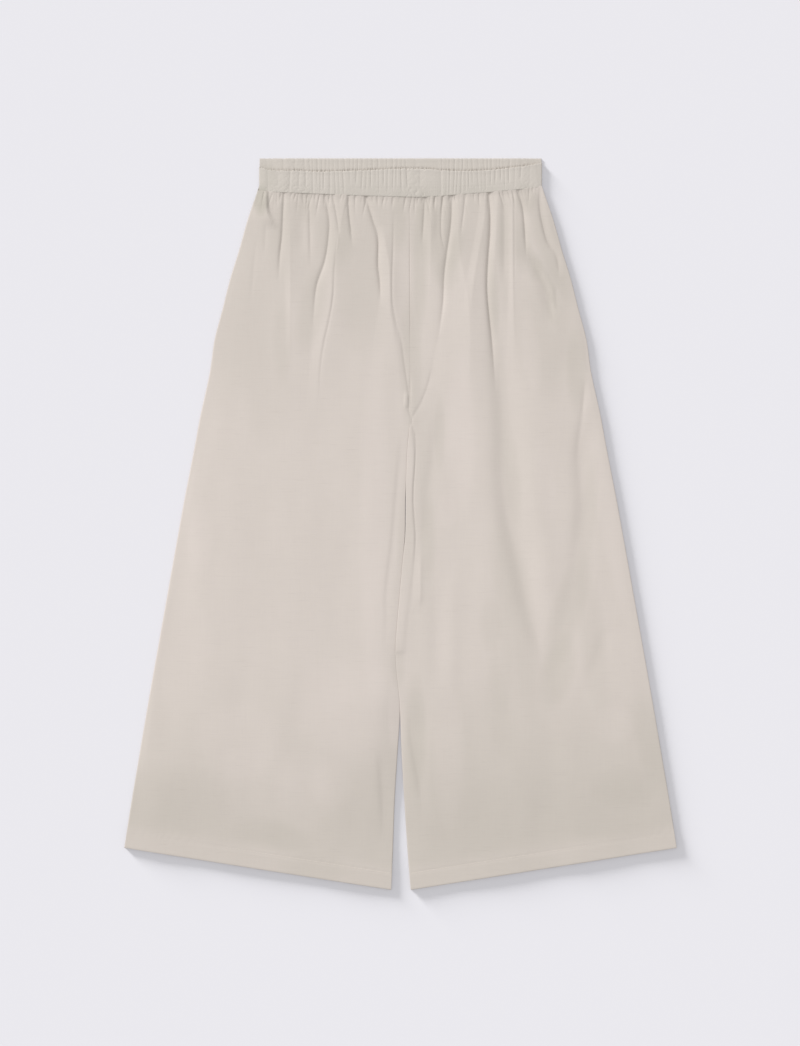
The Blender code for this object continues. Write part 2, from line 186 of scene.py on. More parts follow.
fronts = {
    # down, air that holds the front off the back, how far in from the side it takes to fill
    "air": [
        (30, 1.5, 10), (60, 2.0, 13), (110, 2.7, 20), (200, 3.6, 32), (320, 4.4, 44), (560, 4.8, 50),
        (660, 4.6, 46), (720, 3.6, 34), (770, 1.7, 24), (806, 0.8, 14), (860, 0.7, 10),
    ],
    # Crease lines. depth, softness towards the right leg's side, towards the left leg's side, share of the
    # length over which the line dies away, path of (across, down)
    "creases": [
        (0.5, 1.8, 2.4, 0.4, [(-157.5, 74), (-158.5, 114)]),
        (0.3, 1.5, 2.0, 0.4, [(-167.9, 88), (-171.4, 127), (-176, 178)]),
        (1.8, 1.3, 2.6, 0.4, [(-136.3, 36), (-138.6, 90), (-141, 113), (-142.3, 150)]),
        (0.8, 1.2, 1.2, 0.4, [(-144.5, 36), (-144, 58)]),
        (1.0, 1.1, 3.0, 0.4, [(-107, 36), (-105.8, 100), (-105, 132)]),
        (1.6, 1.9, 2.6, 0.38, [(-89.5, 38), (-83.6, 71), (-84, 92), (-88.3, 120), (-97.7, 148),
            (-101.2, 181), (-102, 208)]),
        (1.2, 1.1, 1.6, 0.3, [(-79.5, 42), (-75, 66), (-71.9, 86), (-71, 96)]),
        (0.85, 0.8, 1.2, 0.36, [(-71.5, 80), (-75.4, 108), (-77.8, 136), (-78.9, 162), (-83.6, 190),
            (-89.5, 216), (-94, 250), (-95, 290)]),
        (1.7, 1.1, 2.6, 0.38, [(-61.4, 42), (-60.2, 66), (-55.5, 106)]),
        (2.2, 1.7, 2.6, 0.3, [(-41.5, 42), (-32.1, 73), (-26.3, 94), (-26.3, 125), (-24, 146),
            (-22.8, 176)]),
        (0.75, 0.8, 1.4, 0.06, [(-7.6, 52), (-8.7, 101), (-9.9, 162), (-5.2, 195), (0.6, 214), (6.4, 254),
            (8.8, 271), (9.9, 294), (11.7, 306)]),
        (1.2, 1.2, 1.6, 0.38, [(28.6, 40), (27.4, 66), (25, 106)]),
        (1.0, 1.0, 1.6, 0.3, [(49.7, 44), (47.4, 87), (53, 112)]),
        (2.0, 2.6, 2.0, 0.4, [(60.7, 38), (59, 78), (54.4, 111), (51.3, 136), (49.7, 171), (45, 205),
            (42.5, 228)]),
        (0.2, 1.2, 5.0, 0.03, [(46, 196), (40.4, 224), (36.5, 246), (32.5, 263), (28.7, 274), (23.8, 286),
            (17.9, 296), (13.5, 304)]),
        (0.35, 1.0, 3.5, 0.03, [(36.5, 246), (32.5, 263), (28.7, 274), (23.8, 286), (17.9, 296),
            (13.5, 304)]),
        (0.6, 0.5, 0.9, 0.1, [(5.0, 285), (8, 293), (10.2, 298), (12.8, 304.5), (12.5, 313)]),
        (0.8, 0.9, 1.5, 0.38, [(75.4, 38), (74, 60), (69.6, 94)]),
        (2.8, 2.0, 2.6, 0.38, [(102.4, 34), (104.7, 61), (104.7, 85), (101.9, 125), (101.2, 153),
            (103.5, 183), (107, 216), (111.5, 280)]),
        (0.3, 0.8, 0.8, 0.38, [(132.8, 34), (133.2, 172)]),
        (2.1, 1.7, 3.0, 0.38, [(136.5, 34), (142.6, 57), (145.5, 89), (147, 120)]),
        (0.9, 2.6, 3.0, 0.5, [(216, 252), (212.5, 298), (207, 337), (204.5, 372)]),
        (2.6, 1.3, 3.0, 0.3, [(164.2, 30), (163, 54), (165.5, 73), (172.6, 99), (183, 115), (184.8, 142)]),
    ],
    # Facets that climb from one line to another. Beyond the second they step down a little and then sink.
    # share of the height in the step, how far the rest takes to sink, rows of (down, foot, crest, height)
    "facets": [
        (0.0, 9, [(36, -154.6, -156.8, 1.8), (56, -153.8, -156.3, 2.4), (64, -151.8, -155.2, 2.6),
            (70, -148, -152.8, 2.5), (76, -143.5, -148.5, 1.6), (81, -139, -144, 0)]),
        (0.3, 6, [(42, -79, -63.5, 0.7), (60, -76, -66.5, 0.7), (78, -73, -69.5, 0.5),
            (92, -72, -70.5, 0)]),
        (0.15, 12, [(66, -137, -129.5, 0), (92, -138, -129, 0.8), (140, -135.5, -128.6, 0.9),
            (206, -134, -129, 0.5), (240, -134, -129, 0)]),
        (0.22, 26, [(50, -88.5, -78, 0), (70, -83.8, -73, 0.9), (92, -84, -72, 1.6),
            (120, -88.3, -76.5, 1.7), (148, -97.7, -78.6, 1.8), (181, -101.5, -82, 1.8),
            (216, -104, -89.7, 1.7), (260, -108, -95, 0.7), (300, -112, -97, 0)]),
        (0.05, 9, [(78, -28, -22, 0), (101, -26.3, -17.6, 1.6), (125, -26.3, -13.4, 2.1),
            (153, -24.3, -12.2, 2.3), (180, -27, -11.6, 1.7), (216, -32, -6, 1.0), (270, -36, 2, 0)]),
        (0.1, 8, [(38, 29.5, 35.7, 0.4), (60, 28.6, 35.8, 1.0), (97, 27, 35.5, 0.9), (134, 27, 35, 0.4),
            (160, 27, 35, 0)]),
        (0.0, 20, [(42, 62, 68, 0.5), (80, 60, 67.5, 1.1), (111, 55.5, 69, 1.5), (140, 52.5, 75, 2.2),
            (180, 51, 80, 2.4), (216, 47, 81, 2.0), (262, 34, 80, 1.0), (310, 22, 80, 0)]),
        (0.1, 9, [(42, 93, 99.4, 0.6), (70, 90, 98, 1.0), (100, 85, 93, 1.1), (148, 76, 85, 1.0),
            (190, 72, 82, 0)]),
        (0.1, 9, [(42, 107, 114, 0.6), (80, 106, 112, 0.8), (120, 103.5, 109.5, 0.6), (160, 103, 109, 0)]),
        (0.25, 8, [(42, 125, 130.6, 0.5), (75, 125.5, 131, 1.2), (130, 126, 131.2, 1.2),
            (175, 125, 131.8, 0.9), (215, 124, 133, 0.4), (250, 124, 133, 0)]),
        (0.1, 12, [(50, 165, 171, 0.3), (75, 167.5, 175, 0.55), (99, 175, 182.5, 0.55),
            (115, 184, 189, 0.3), (140, 186, 193, 0)]),
    ],
    # Broad soft folds. height, spread on the right leg's side, on the left leg's side, share of the length
    # over which the fold dies away, path of (across, down)
    "folds": [
        (-0.8, 8.0, 6.0, 0.38, [(-114, 50), (-115, 84), (-114, 118)]),
        (-0.7, 4.5, 4.5, 0.38, [(44, 40), (43, 106)]),
        (-0.8, 3.6, 3.6, 0.38, [(121, 36), (121.5, 158)]),
        (-0.7, 18.0, 18.0, 0.38, [(18, 50), (16, 160), (12, 290)]),
        (-1.9, 8.0, 5.0, 0.38, [(141, 100), (158.5, 129), (170, 153), (175.5, 178), (177, 205)]),
        (-0.5, 2.5, 3.0, 0.38, [(180.8, 148), (183.1, 184)]),
        (-2.9, 12.0, 22.0, 0.16, [(106, 150), (110.4, 200), (117.6, 259), (121, 318), (121.5, 368),
            (126.5, 420), (137.5, 466), (147.5, 513), (156.5, 545), (167, 580), (180, 625)]),
        (-1.9, 9.0, 14.0, 0.45, [(220, 290), (213.5, 337), (211.2, 364), (213.5, 403), (211.2, 435),
            (208, 473), (203, 505)]),
        (-1.1, 14.0, 26.0, 0.3, [(212, 400), (206, 473), (199, 513), (190, 552), (181, 590), (173, 640)]),
        (1.0, 16.0, 14.0, 0.38, [(156, 300), (163, 430), (168, 520), (172, 590)]),
        (0.9, 16.0, 18.0, 0.38, [(-222, 300), (-240, 470), (-217, 590)]),
        (-0.8, 4.0, 9.0, 0.38, [(-25, 690), (-21, 740), (-18, 806)]),
        (-0.9, 4.0, 12.0, 0.38, [(10.5, 648), (13, 675), (18, 705), (24.5, 745), (27, 776)]),
        (-0.55, 3.0, 6.0, 0.38, [(4.1, 308), (-1, 353), (-5, 400), (-9, 446), (-15.8, 505), (-16, 540),
            (-19.3, 596)]),
        (-0.7, 7.0, 10.0, 0.38, [(44.6, 286), (38, 352), (31, 396), (28.7, 430), (28.7, 490)]),
        (-0.5, 9.0, 12.0, 0.38, [(42.7, 480), (42.7, 650)]),
        (0.5, 10.0, 10.0, 0.38, [(60, 470), (60, 660)]),
        (-0.5, 6.0, 14.0, 0.38, [(240, 545), (232, 575), (216, 622)]),
    ],
    "startBelow": 50,  # a line that starts further down than this also grows from nothing
    "startShare": 0.25,
    "creaseRound": (0.12, 0.35),  # rounds the bottom of a crease
    "facetForm": (1.2, 0.9, 1.4),  # how hollow the climb is, run of the step, how sudden the sinking is
    # Soft unevenness that no fold line accounts for
    "ripples": {
        "count": 26, "lean": 0.35, "long": (26, 95), "slope": 0.0007, "downShare": 0.6,
        "waist": (0.5, 120, 60),  # share left at the waist, over what run and where the rest comes
        "hem": (0.5, 60, 40),  # share lost at the hem, how far above it and over what run
    },
    # Small gathers that the waist seam pinches
    "nips": {
        "count": 74, "deep": (0.3, 1.6), "reach": (6, 34), "lean": (-0.24, 0.24), "soft": (0.42, 0.8),
        "margin": 3,  # from the ends of the waist
        "stray": 2.6,
        "fan": 0.001,  # how much further apart they are for each millimetre down
        "start": (0.35, 3),  # share of the depth at the seam itself, run to all of it
        "leftSoft": 1.8,  # times softer on the left leg's side
    },
    "sideSeam": 1.9,
    "waistSide": (2.65, 12),  # the seam's height at the waist, run in from the side to it
    "sideFade": (33, 30),  # where and over what run that height goes
    "wall": 1.35,  # from the seam to a front's outer face
    "sideFill": (0.12, 2.5, 1.5),  # share of the air that fills at once, its run, how suddenly the rest fills
    "waistFill": (0.75, 14),  # share of the air at the waist seam, run to all of it
    "foldStart": (0.6, 7),  # the same for the folds
    "sideCalm": 8,  # run in from the side to the full folds
    "seamRise": (0.72, 4.5, 4, 30),  # allowance below the waistband: height, run, start and run from the side
    "legOpen": 60,  # run below the crotch over which the front seam gives way to two edges
    "legPart": (610, 60),  # where and over what run the legs part
    "innerDip": (0.12, 0.66, 7, 23),  # share of the air lost at an inner edge and its run, each with its gain
    "innerSink": (1.0, 30, 20, 40),  # the parted edge sinks: depth, run, how far above the hem, over what run
    "frontSeam": (0.08, 0.32, 0.7, 80, 225, 30),  # groove: depth, gain, spread, where the gain is, its run
    "least": (0.1, 0.35),  # deepest that a fold sinks below the flat cloth, softness of that limit
    "edgeTurn": (0.9, 0.45),  # at the right leg's side, at the left leg's
    "innerTurn": (0.15, 0.15, 0.3),  # at the front seam, gain in the open leg, gain where the legs part
}

insideLeg = {
    # down, width of the strip that turns over to the front along the left leg's inner edge
    "strip": [
        (306, 0.3), (341, 8.2), (400, 7.4), (452, 11.4), (481, 12.6), (516, 11.4), (563, 10.6), (600, 10.4),
    ],
    "stripHigh": 0.9,
    "stripEnds": (306, 20, 581, 6),  # start, run over which it comes, end, run over which it goes
    "stripEdge": (0.5, 1.6, 455, 60),  # softness, what it gains, where and over what run
    "groove": (0.5, 1.0, 0.2),  # beside the strip: depth, distance, spread more than the edge's softness
    "grooveFade": (0.8, 440, 30),  # share lost, where and over what run
    "spot": (18.8, 455, 521, 4.7, 1.05),  # short ridge beside it: across, start, end, half width, height
    "spotFade": (30, 4, 3.2),  # run over which it comes, goes, and falls off on the left leg's side
    # Bunched cloth where four seams meet, and a pit above it: across, down, half width, half length, height
    "knot": (7.0, 283, 2.7, 8, 0.8),
    "pit": (11.2, 270, 1.5, 13, 0.55),
}

rng = np.random.default_rng(7)
waves = []  # each soft ripple has a direction, a length and a start
for k in range(fronts["ripples"]["count"]):
    lean, long = rng.normal(0, fronts["ripples"]["lean"]), rng.uniform(*fronts["ripples"]["long"])
    waves.append((lean, long, rng.uniform(0, 2 * math.pi)))
nips = []
nipEnd = cut["waistHalf"] - fronts["nips"]["margin"]
for spot in np.linspace(-nipEnd, nipEnd, fronts["nips"]["count"]):
    stray = rng.uniform(-fronts["nips"]["stray"], fronts["nips"]["stray"])
    form = [rng.uniform(*fronts["nips"][part]) for part in ("deep", "reach", "lean", "soft")]
    nips.append([spot + stray] + form)


def ripples(across, down):
    total = np.zeros_like(across)
    slope, downShare = fronts["ripples"]["slope"], fronts["ripples"]["downShare"]
    for angle, wave, shift in waves:
        along = across * math.cos(angle) + down * math.sin(angle) * downShare
        total += slope * wave * np.sin(2 * math.pi * along / wave + shift)
    return total


def lineFade(down, start, end, share):
    fade = fall(down, end, share * (end - start))
    if start > fronts["startBelow"]:
        fade = fade * grow(down, start, fronts["startShare"] * (end - start))
    return fade


def fromPath(across, down, path):
    return across - through([(d, a) for a, d in path], 1, down)


def foldForm(across, down):
    total = np.zeros_like(across)
    for high, rightSpread, leftSpread, share, path in fronts["folds"]:
        offset = fromPath(across, down, path)
        fade = lineFade(down, path[0][1], path[-1][1], share)
        total += high * fade * bell(offset, np.where(offset < 0, rightSpread, leftSpread))
    square, rounding = fronts["creaseRound"]
    for deep, rightSoft, leftSoft, share, path in fronts["creases"]:
        offset = fromPath(across, down, path)
        far = (np.sqrt(offset ** 2 + square) - rounding) / np.where(offset < 0, rightSoft, leftSoft)
        total -= deep * lineFade(down, path[0][1], path[-1][1], share) * np.exp(-far)
    hollow, stepRun, sudden = fronts["facetForm"]
    for step, sink, rows in fronts["facets"]:
        foot, crest, high = (through(rows, column, down) for column in (1, 2, 3))
        inside = (down < rows[-1][0]) & ((down > rows[0][0]) | (rows[0][3] > 0))
        high = np.where(inside, np.maximum(high, 0), 0)
        climb = (across - foot) / (crest - foot)
        past = np.maximum((across - crest) * np.sign(crest - foot), 0)
        beyond = step * np.exp(-past / stepRun) + (1 - step) * np.exp(-((past / sink) ** sudden))
        total += high * np.where(climb < 1, np.clip(climb, 0, 1) ** hollow, beyond)
    return total


def gatherForm(across, below):
    style = fronts["nips"]
    total = np.zeros_like(across)
    near = below < style["reach"][1]
    run, spots = below[near], across[near]
    for spot, deep, reach, lean, soft in nips:
        offset = spots - spot * (1 + style["fan"] * run) - lean * run
        soft = np.where(offset < 0, soft, style["leftSoft"] * soft)
        deepest = deep * ease(1 - run / reach) * fill(run, *style["start"])
        total[near] -= deepest * np.exp(-np.abs(offset) / soft)
    return total


def stripForm(across, down, side):
    at, start, wide, long, deep = insideLeg["pit"]
    pit = deep * bell(across - at, wide) * bell(down - start, long)
    if side < 0:
        at, start, wide, long, high = insideLeg["knot"]
        return high * np.exp(-((across - at) / wide) ** 4 - ((down - start) / long) ** 4) - pit
    inward = across - innerEdge(down, side)
    wide = through(insideLeg["strip"], 1, down)
    start, come, end, go = insideLeg["stripEnds"]
    ends = grow(down, start, come) * fall(down, end, go)
    crisp, gain, *where = insideLeg["stripEdge"]
    soft = crisp + gain * grow(down, *where)
    high = insideLeg["stripHigh"] * ends / (1 + np.exp(np.clip((inward - wide) / soft, -30, 30)))
    deep, beside, spread = insideLeg["groove"]
    lost, *where = insideLeg["grooveFade"]
    groove = -deep * ends * (1 - lost * grow(down, *where)) * bell(inward - wide - beside, spread + soft)
    at, start, end, half, rise = insideLeg["spot"]
    come, go, leftRun = insideLeg["spotFade"]
    climb = (across - at + half) / (2 * half)
    spot = rise * grow(down, start, come) * fall(down, end, go)
    spot *= np.where(climb < 1, np.clip(climb, 0, 1), np.exp(-np.maximum(climb - 1, 0) * 2 * half / leftRun))
    return high + groove + spot - pit


def edgeDrop(inward, turn):  # quarter turn of the cloth at an edge
    left = turn - np.clip(inward, 0, turn)
    return turn - np.sqrt(np.maximum(turn * turn - left * left, 0))


def frontTop(across, down, side, turned=True):  # height of a front panel's outer face
    below = np.maximum(down - waistSeam(across), 0)
    fromSide, fromInner, fromHem = fromEdges(across, down, side)

    # Seam line and the air over it
    waistHigh, run = fronts["waistSide"]
    waistLift = (waistHigh - fronts["sideSeam"]) * (1 - np.exp(-fromSide / run))
    start, run = fronts["sideFade"]
    seam = fronts["sideSeam"] + waistLift * np.exp(-np.maximum(down - start, 0) / run)
    openLeg = grow(down, cut["crotch"], fronts["legOpen"])
    parted = grow(down, *fronts["legPart"])
    sink, inward, *where = fronts["innerSink"]
    base = seam + fronts["wall"]
    base = base - sink * parted * np.exp(-fromInner / inward) * grow(fromHem, *where)
    atOnce, run, sudden = fronts["sideFill"]
    slowly = 1 - np.exp(-((fromSide / through(fronts["air"], 2, down)) ** sudden))
    sideAir = atOnce * (1 - np.exp(-fromSide / run)) + (1 - atOnce) * slowly
    dip, dipGain, run, runGain = fronts["innerDip"]
    nearInner = (dip + dipGain * parted) * np.exp(-fromInner / (run + runGain * parted))
    air = through(fronts["air"], 1, down) * sideAir * (1 - openLeg * nearInner)

    # Folds and ripples
    folds = foldForm(across, down) * fill(below, *fronts["foldStart"])
    form = gatherForm(across, below) + folds + stripForm(across, down, side)
    lost, *where = fronts["ripples"]["hem"]
    soft = ripples(across, down) * fill(down, *fronts["ripples"]["waist"])
    form = (form + soft * (1 - lost * fall(fromHem, *where))) * ease(fromSide / fronts["sideCalm"])
    deep, gain, spread, start, end, run = fronts["frontSeam"]
    seamSeen = grow(down, start, run) * fall(down, end, run)
    seamGroove = (deep + gain * seamSeen) * bell(fromInner, spread) * (1 - openLeg) * (side < 0)

    high = base + air * fill(below, *fronts["waistFill"]) + form - seamGroove
    rise, run, *where = fronts["seamRise"]
    high += rise * np.exp(-below / run) * grow(fromSide, *where)
    under, bend = fronts["least"]
    least = base - under + (hems["least"] - base + under) * inHem(fromHem, hems["leastRun"])
    high = least + bend * np.logaddexp(0, (high - least) / bend)
    high = sewHem(high, across, fromHem, side)
    if turned:
        flat = 1 - hems["edgeFlat"] * inHem(fromHem, hems["flatRun"])
        turn = fronts["edgeTurn"][int(side > 0)] * flat
        atSeam, openGain, partGain = fronts["innerTurn"]
        turnInner = (atSeam + openGain * openLeg + partGain * parted) * flat
        high = high - edgeDrop(fromSide, turn) - edgeDrop(fromInner, turnInner)
    return high


def frontMiddle(across, down, side):  # height of the middle of its wall
    return frontTop(across, down, side) - cut["cloth"] / 2


backs = {
    "pleatPitch": 7.5,
    "pleatHigh": 1.3,
    "pleatReach": 55,
    "pleatForm": (0.0014, 1.3, 23, 0.7),  # how they fan out, how far they wander, over what length, width
    "waves": (0.22, 31, 90, 47),  # height, length across, its slant, length down
    "legPart": (645, 30),  # where and over what run the inner edges turn up
    "rest": 0.05,
    "leastLift": 0.01,
}


def backMiddle(across, down, side):  # height of the middle of a back panel's wall
    below = np.maximum(down - waistSeam(across, "backBand"), 0)
    fromSide, fromInner, fromHem = fromEdges(across, down, side)
    spread, wander, long, wide = backs["pleatForm"]
    fan = across / (1 + spread * below)
    pleats = np.abs(np.sin(math.pi * fan / backs["pleatPitch"] + wander * np.sin(fan / long)))
    flat = 1 - inHem(fromHem, hems["flatRun"])
    high = backs["pleatHigh"] * (1 - pleats ** wide) * np.exp(-below / backs["pleatReach"])
    rise, long, slant, downLong = backs["waves"]
    high += rise * np.maximum(0, np.sin(across / long + down / slant) * np.sin(down / downLong)) * flat
    high *= ease(fromSide / fronts["sideCalm"])

    # The edges turn up to meet the front's edges, where the seams are.
    lowest = cut["cloth"] + backs["rest"]
    sideLift = (frontTop(side * outerEdge(down), down, side) - lowest) * flat + backs["leastLift"]
    innerLift = (frontTop(innerEdge(down, side), down, side) - lowest) * flat * grow(down, *backs["legPart"])
    innerLift = innerLift + backs["leastLift"]
    return lowest - cut["cloth"] / 2 + high + edgeDrop(fromSide, sideLift) + edgeDrop(fromInner, innerLift)


sheetGrid = {
    "inner": [0, 0.08, 0.3, 0.65, 1.1],  # distances of the first columns from the inner edge
    "finePitch": 0.9,
    "fineTo": 30,
    "middle": 185,
    "outer": [3.2, 2.0, 1.2, 0.7, 0.3, 0.08, 0],
    # count of rows, and the run below the waist seam that they reach
    "rows": [
        (0, 0), (2, 0.7), (20, 36), (44, 130), (58, 205), (88, 275), (114, 450), (126, 523), (138, 545),
        (168, 786), (180, 811),
    ],
    "rough": (44.0, 786),  # waist seam and run to the hem, near enough to share out the columns
    "turnRows": 5,
    "returnRows": 5,
}


def startGrid(name, columns, rows):  # a flat grid whose points are then laid by a formula
    bpy.ops.object.select_all(action="DESELECT")
    bpy.ops.mesh.primitive_grid_add(x_subdivisions=columns - 1, y_subdivisions=rows - 1, size=1)
    piece = bpy.context.active_object
    piece.name = piece.data.name = name
    spots = np.empty(columns * rows * 3)
    piece.data.vertices.foreach_get("co", spots)
    spots = spots.reshape(-1, 3)
    column = np.rint((spots[:, 0] + 0.5) * (columns - 1)).astype(int)
    row = np.rint((0.5 - spots[:, 1]) * (rows - 1)).astype(int)
    return piece, column, row


def lay(piece, across, down, high):
    spots = np.stack([across, length / 2 - down, high], axis=1) * mm
    piece.data.vertices.foreach_set("co", spots.ravel())
    piece.data.update()


def thicken(piece, thickness):
    wall = piece.modifiers.new("wall", "SOLIDIFY")
    wall.thickness = thickness * mm
    wall.offset = 0
    bpy.context.view_layer.objects.active = piece
    bpy.ops.object.modifier_apply(modifier=wall.name)
    bpy.ops.object.shade_smooth()


# A front's hem turns under it, and facing is 1. A back's hem turns on top of it, and facing is -1.
def legPanel(name, side, middle, band, facing, coarse=1):
    grid = sheetGrid
    pitch = grid["finePitch"] * coarse
    inner = grid["inner"] + list(np.arange(grid["inner"][-1] + grid["finePitch"], grid["fineTo"], pitch))
    outer = np.array(grid["outer"])
    between = grid["middle"] // coarse + 2
    fixed = np.concatenate([inner, np.linspace(inner[-1], -outer[0], between)[1:-1], -outer])
    part = np.concatenate([np.zeros(len(inner)), np.linspace(0, 1, between)[1:-1], np.ones(len(outer))])
    counts, runs = zip(*grid["rows"])
    mainRows = np.interp(np.arange(0, counts[-1] + 1, coarse), counts, runs)
    turn = hems["turn"]
    angles = np.linspace(0, math.pi, grid["turnRows"] + 2)[1:-1]
    back = np.linspace(turn, hems["deep"] - 1, grid["returnRows"] + 1)
    rowRun = np.concatenate([mainRows / mainRows[-1], np.ones(len(angles) + len(back))])
    rowShift = np.concatenate([-turn * mainRows / mainRows[-1], -turn + turn * np.sin(angles), -back])
    rowLayer = np.concatenate([np.zeros(len(mainRows)), (1 - np.cos(angles)) / 2, np.ones(len(back))])

    piece, column, row = startGrid(name, len(fixed), len(rowRun))
    if side < 0:
        column = len(fixed) - 1 - column
    start, run = grid["rough"]
    roughDown = start + rowRun[row] * run
    wide = outerEdge(roughDown) - side * innerEdge(roughDown, side)
    share = np.clip((fixed[column] + part[column] * wide) / wide, 0, 1)
    topInner = innerEdge(start, side)
    topAcross = topInner + (side * cut["waistHalf"] - topInner) * share
    topDown = waistSeam(topAcross, band) - cut["tuck"]
    down = topDown + (hemEdge(share) - topDown) * rowRun[row] + rowShift[row]
    across = acrossAt(down, side, share)
    high = middle(across, down, side) - facing * 2 * turn * rowLayer[row]
    lay(piece, across, down, high)
    thicken(piece, cut["cloth"])
    return piece


waistband = {
    "thick": 2.9,
    "endThick": 1.0,
    "endThin": (9, 32),  # run over which an end thins to that: front half, back half
    # An end of the front half turns down, one of the back half hardly: radius, fall below it, how much lower
    "ends": [(0.3, 1.45, 1.9), (0.01, 0, 0)],
    "endRun": 34,
    "endCalm": 0.7,  # share of the relief that the ends lose
    "short": 0.7,  # how far each end stays inside the side seam
    "columns": 640,
    "faceRows": 34,
    "seamRows": [0.004, 0.012, 0.022, 0.036, 0.055],  # close rows at the waist seam, in shares of the height
    "even": (0.08, 0.985),  # shares of the height between which the rows are even
    "foldHigh": 0.015,
    "foldRows": 5,
    "plainRows": 9,
    "plainTo": 0.03,
    "frontBase": 3.15,
    "rest": 0.02,  # least height of the back half
    "frontRidge": 0.5,
    "backRidge": 0.34,
    "most": 0.75,  # of a ridge, in millimetres
    "ridgeUnit": 0.62,
    "ridgeForm": (3.2, 0.16, 0.3),  # sharpness of the cuts, depth to a millimetre of pitch, run at the end
    "marksFrom": 170.0,  # half the run that the ridges cover
    "uneven": (0.6, 1.4),  # of the pitch
    "strength": (0.4, 1.15),  # of a cut between two ridges
    "lowEnd": (-0.2, 0.4),  # share of the height at which a cut starts
    "fine": 0.42,  # pitch of the fine ridges against the coarse ones
    "lean": (1.1, 6.1, 0.9, 13.7),  # of the ridges: two waves, each with its size and length
    "fineLean": (1.6, 21, 3.1),
    "fineDepth": (0.6, 0.7),  # above the elastic's lower stitching, gain below it
    "lower": (0.06, 0.16),  # where above that stitching, and over what share, the gain goes
    "crimp": (0.02, 0.08),  # the same for the cloth's small crimps
    "crimpForm": (2.3, 40, 75, 1.1),  # how close they are along, up, up and along again
    "sewn": 0.3,  # share of the height at which the casing is stitched below the elastic
    "sewnGroove": (0.12, 0.02),  # depth, spread
    "seamDip": (0.15, 0.04),  # at the waist seam: depth, share of the height
    "topSwell": (0.25, 0.8, 0.17),  # height, from, over what share
    # Coarse and fine ridges scallop the top edge: most that counts, effect at the front, at the back
    "scallop": [(0.6, 1.3, 0.4), (0.5, 2.6, 0.4)],
    "scallopFrom": (0.85, 0.15),
    # The back half sinks under the front half's edge: depth, spread, distance, run in from the ends
    "groove": (1.15, 1.6, 0.2, 16),
    "grooveWaves": (0.78, 0.22, 0.21, 2),  # it is uneven: mean, size, waves to a millimetre, start
    "grooveRidges": (0.62, 0.38, 1.75, 2.2, 0.37),
    # across, pitch of the ridges
    "pitch": [
        (-166, 12), (-152, 9), (-150, 14), (-114, 12), (-106, 5.6), (6, 5.2), (7.6, 19), (25, 19), (27, 4.8),
        (132, 5.6), (140, 11), (166, 12),
    ],
}


def ridgeMarks(scale):
    marks = [-waistband["marksFrom"]]
    while marks[-1] < waistband["marksFrom"]:
        pitch = np.interp(marks[-1], *zip(*waistband["pitch"])) * scale
        marks.append(marks[-1] + pitch * rng.uniform(*waistband["uneven"]))
    strength = rng.uniform(*waistband["strength"], len(marks))
    return np.array(marks), strength, rng.uniform(*waistband["lowEnd"], len(marks))


def pillows(across, up, marks, strength, ends):
    sharp, depth, run = waistband["ridgeForm"]
    i = np.clip(np.searchsorted(marks, across, side="right") - 1, 0, len(marks) - 2)
    wide = marks[i + 1] - marks[i]
    t = (across - marks[i]) / wide
    lowEnd = np.where(t < 0.5, ends[i], ends[i + 1])
    cutIn = np.where(t < 0.5, strength[i], strength[i + 1]) * grow(up, lowEnd, run)
    return -np.abs(2 * t - 1) ** sharp * np.minimum(depth * wide, waistband["most"]) * cutIn


def bandRelief(run, up, ridge, lies):  # relief of the casing's face, and how far the ridges scallop its top
    style = waistband
    ridges, fine = ridgeMarks(1), ridgeMarks(style["fine"])
    size, long, size2, long2 = style["lean"]
    lean = size * np.sin(run / long) + size2 * np.sin(run / long2 + 1)
    leaning = run + lean * (up - 0.5)
    relief = pillows(leaning, up, *ridges) * ridge / style["ridgeUnit"]
    above, share = style["lower"]
    lower = fall(up, style["sewn"] + above, share)
    size, pace, long = style["fineLean"]
    fineLean = leaning + size * np.sin(up * pace + run / long)
    depth, gain = style["fineDepth"]
    relief += pillows(fineLean, 1, *fine) * (depth + gain * lower) * ridge
    depth, gain = style["crimp"]
    runPace, upPace, upPace2, runPace2 = style["crimpForm"]
    crimp = np.sin(run * runPace + up * upPace)
    relief += (depth + gain * lower) * crimp * np.sin(up * upPace2 - run * runPace2)
    depth, spread = style["sewnGroove"]
    relief -= depth * bell(up - style["sewn"], spread)
    dip, dipRun = style["seamDip"]
    swell, *where = style["topSwell"]
    relief -= dip * (1 - ease(up / dipRun)) - swell * grow(up, *where)
    scallop = 0
    for place, marks, (most, front, back) in zip((leaning, fineLean), (ridges, fine), style["scallop"]):
        scallop = scallop + np.clip(-pillows(place, 1, *marks), 0, most) * (back if lies else front)
    return relief, scallop * grow(up, *style["scallopFrom"])


def bandGroove(run, toEnd, down, frontEdge):  # where the front half's edge presses into the back half
    deep, spread, beyond, endRun = waistband["groove"]
    mean, size, pace, start = waistband["grooveWaves"]
    uneven = mean + size * np.sin(run * pace + start)
    mean, size, pace, wander, wanderPace = waistband["grooveRidges"]
    uneven = uneven * (mean + size * np.sin(run * pace + wander * np.sin(run * wanderPace)))
    return deep * uneven * bell(down - frontEdge - beyond, spread) * ease(toEnd / endRun)


